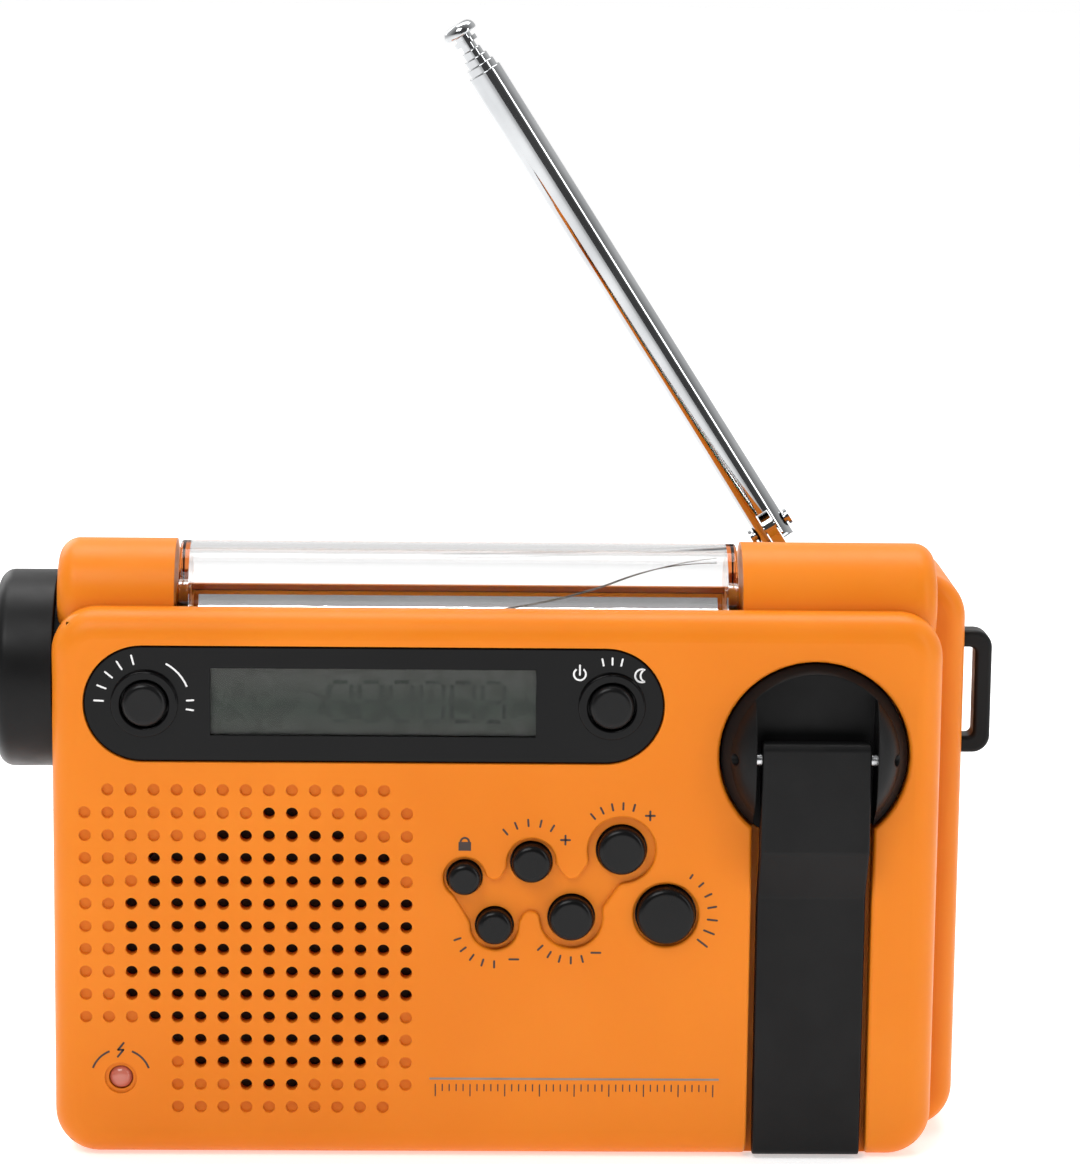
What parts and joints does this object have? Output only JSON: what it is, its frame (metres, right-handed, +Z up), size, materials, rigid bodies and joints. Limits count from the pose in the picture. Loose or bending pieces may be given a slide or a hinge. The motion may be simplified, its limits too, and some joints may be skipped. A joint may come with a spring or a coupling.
{
  "type": "emergency radio",
  "caption": "Wind-up emergency radio in two half shells, with a folding hand crank and generator, telescopic aerial, side torch, turning lamp and solar drum.",
  "frame": {"origin": "On the flat base, under the middle of the front plate and halfway between the front and back of the case", "axes": "+X to the right as seen from the front, +Y to the back, +Z up"},
  "size_m": [0.1696, 0.056, 0.1899],
  "materials": {
    "shell": "Bright orange moulded plastic, satin, slightly translucent at thin edges.",
    "black_plastic": "Satin black moulded plastic with a fine spark texture.",
    "fascia": "Polished black.",
    "clear": "Clear moulded plastic.",
    "lcd": "Grey-green liquid crystal glass.",
    "mirror": "Vacuum metallised reflector.",
    "chrome": "Chrome plated brass tube, bright.",
    "steel": "Zinc plated steel.",
    "board": "Green solder resist on glass fibre, with parts.",
    "acetal": "Natural white acetal.",
    "dark_metal": "Dark plated iron and sintered ferrite.",
    "paper": "Pressed paper cone.",
    "cloth": "Thin black felt.",
    "led": "Tinted clear epoxy dome.",
    "solar": "Dark blue solar cell under epoxy.",
    "cell": "Blue shrink wrap over a steel can.",
    "contact": "Nickel plated spring steel.",
    "rubber": "Soft black rubber.",
    "door": "Orange moulded plastic, the same as the shells."
  },
  "bodies": {
    "case": {"front_shell": "shell", "rear_shell": "shell", "torch_bezel": "black_plastic", "strap_loop": "black_plastic", "display_fascia": "fascia", "torch_lens": "clear", "lcd_window": "clear", "lcd_panel": "lcd", "torch_reflector": "mirror", "idler_axle": "steel", "case_screws": "steel", "gearbox_screws": "steel", "gearbox_plate": "steel", "speaker_frame": "steel", "side_sockets": "steel", "display_board": "board", "main_board": "board", "torch_led_board": "board", "tact_switches": "board", "crank_bush": "acetal", "generator_housing": "dark_metal", "speaker_magnet": "dark_metal", "ferrite_aerial": "dark_metal", "speaker_cone": "paper", "speaker_cloth": "cloth", "charge_led": "led", "battery_cell": "cell", "battery_contacts": "contact"},
    "crank": {"crank_hub": "black_plastic", "hinge_pin": "steel", "crank_gear": "acetal"},
    "crank_arm": {"crank_arm": "black_plastic", "knob_screw": "steel"},
    "crank_knob": {"crank_knob": "black_plastic"},
    "idler_gear": {"idler_gear": "acetal"},
    "generator_rotor": {"generator_rotor": "dark_metal"},
    "lamp_drum": {"lamp_carrier": "shell", "lamp_lens": "clear", "lamp_reflector": "mirror", "lamp_led_board": "board", "solar_panel": "solar"},
    "antenna_base": {"antenna_base": "chrome", "antenna_rivet": "chrome"},
    "antenna_mast": {"antenna_foot": "chrome", "antenna_tube_1": "chrome"},
    "antenna_tube_2": {"antenna_tube_2": "chrome"},
    "antenna_tube_3": {"antenna_tube_3": "chrome"},
    "antenna_tube_4": {"antenna_tube_4": "chrome"},
    "antenna_tip": {"antenna_tip": "chrome"},
    "battery_door": {"battery_door": "door"},
    "port_cover": {"port_cover": "rubber"},
    "lock_button": {"lock_button": "black_plastic"},
    "volume_up_button": {"volume_up_button": "black_plastic"},
    "volume_down_button": {"volume_down_button": "black_plastic"},
    "tune_up_button": {"tune_up_button": "black_plastic"},
    "tune_down_button": {"tune_down_button": "black_plastic"},
    "band_button": {"band_button": "black_plastic"},
    "torch_button": {"torch_button": "black_plastic"},
    "power_button": {"power_button": "black_plastic"}
  },
  "joints": [
    {"name": "crank_spin", "type": "hinge", "parent": "case", "child": "crank", "pos_m": [0.053, -0.025, 0.0701], "axis": [0, -1, 0], "range_deg": [-0.7, 0.7]},
    {"name": "idler_spin", "type": "hinge", "parent": "case", "child": "idler_gear", "pos_m": [0.053, -0.008, 0.04928], "axis": [0, -1, 0], "range_deg": [-2, 2]},
    {"name": "rotor_spin", "type": "hinge", "parent": "case", "child": "generator_rotor", "pos_m": [0.03701, 0, 0.03329], "axis": [0, -1, 0], "range_deg": [-5, 5]},
    {"name": "crank_fold", "type": "hinge", "parent": "crank", "child": "crank_arm", "pos_m": [0.053, -0.0275, 0.0701], "axis": [-1, 0, 0], "range_deg": [0, 172]},
    {"name": "crank_knob_spin", "type": "hinge", "parent": "crank_arm", "child": "crank_knob", "pos_m": [0.053, -0.017, 0.013], "axis": [0, -1, 0], "continuous": true},
    {"name": "lamp_turn", "type": "hinge", "parent": "case", "child": "lamp_drum", "pos_m": [-0.00665, -0.009, 0.0939], "axis": [1, 0, 0], "range_deg": [0, 180]},
    {"name": "antenna_swivel", "type": "hinge", "parent": "case", "child": "antenna_base", "pos_m": [0.05372, 0.019, 0.09339], "axis": [0, 1, 0], "range_deg": [-57.2, 77.8]},
    {"name": "antenna_tilt", "type": "hinge", "parent": "antenna_base", "child": "antenna_mast", "pos_m": [0.0483, 0.019, 0.1018], "axis": [-0.8406, 0, -0.5417], "range_deg": [0, 90]},
    {"name": "antenna_tube_2_slide", "type": "slide", "parent": "antenna_mast", "child": "antenna_tube_2", "axis": [-0.5417, 0, 0.8406], "range_m": [0, 0.074]},
    {"name": "antenna_tube_3_slide", "type": "slide", "parent": "antenna_tube_2", "child": "antenna_tube_3", "axis": [-0.5417, 0, 0.8406], "range_m": [0, 0.074]},
    {"name": "antenna_tube_4_slide", "type": "slide", "parent": "antenna_tube_3", "child": "antenna_tube_4", "axis": [-0.5417, 0, 0.8406], "range_m": [0, 0.074]},
    {"name": "antenna_tip_slide", "type": "slide", "parent": "antenna_tube_4", "child": "antenna_tip", "axis": [-0.5417, 0, 0.8406], "range_m": [0, 0.074]},
    {"name": "lock_button_press", "type": "slide", "parent": "case", "child": "lock_button", "axis": [0, 1, 0], "range_m": [0, 0.0006], "stiffness_N_per_m": 1200, "springref_m": -0.0006},
    {"name": "volume_up_button_press", "type": "slide", "parent": "case", "child": "volume_up_button", "axis": [0, 1, 0], "range_m": [0, 0.0006], "stiffness_N_per_m": 1200, "springref_m": -0.0006},
    {"name": "volume_down_button_press", "type": "slide", "parent": "case", "child": "volume_down_button", "axis": [0, 1, 0], "range_m": [0, 0.0006], "stiffness_N_per_m": 1200, "springref_m": -0.0006},
    {"name": "tune_up_button_press", "type": "slide", "parent": "case", "child": "tune_up_button", "axis": [0, 1, 0], "range_m": [0, 0.0006], "stiffness_N_per_m": 1200, "springref_m": -0.0006},
    {"name": "tune_down_button_press", "type": "slide", "parent": "case", "child": "tune_down_button", "axis": [0, 1, 0], "range_m": [0, 0.0006], "stiffness_N_per_m": 1200, "springref_m": -0.0006},
    {"name": "band_button_press", "type": "slide", "parent": "case", "child": "band_button", "axis": [0, 1, 0], "range_m": [0, 0.0006], "stiffness_N_per_m": 1200, "springref_m": -0.0006},
    {"name": "torch_button_press", "type": "slide", "parent": "case", "child": "torch_button", "axis": [0, 1, 0], "range_m": [0, 0.0006], "stiffness_N_per_m": 1200, "springref_m": -0.0006},
    {"name": "power_button_press", "type": "slide", "parent": "case", "child": "power_button", "axis": [0, 1, 0], "range_m": [0, 0.0006], "stiffness_N_per_m": 1200, "springref_m": -0.0006},
    {"name": "battery_door_open", "type": "hinge", "parent": "case", "child": "battery_door", "pos_m": [-0.015, 0.0241, 0.00825], "axis": [-1, 0, 0], "range_deg": [0, 95]},
    {"name": "port_cover_open", "type": "hinge", "parent": "case", "child": "port_cover", "pos_m": [0.07945, 0.0154, 0.032], "axis": [0, 0, 1], "range_deg": [0, 90]}
  ],
  "couplings": [
    {"joint": "idler_spin", "follows": "crank_spin", "ratio": -2.2857},
    {"joint": "rotor_spin", "follows": "crank_spin", "ratio": 5.8776}
  ]
}
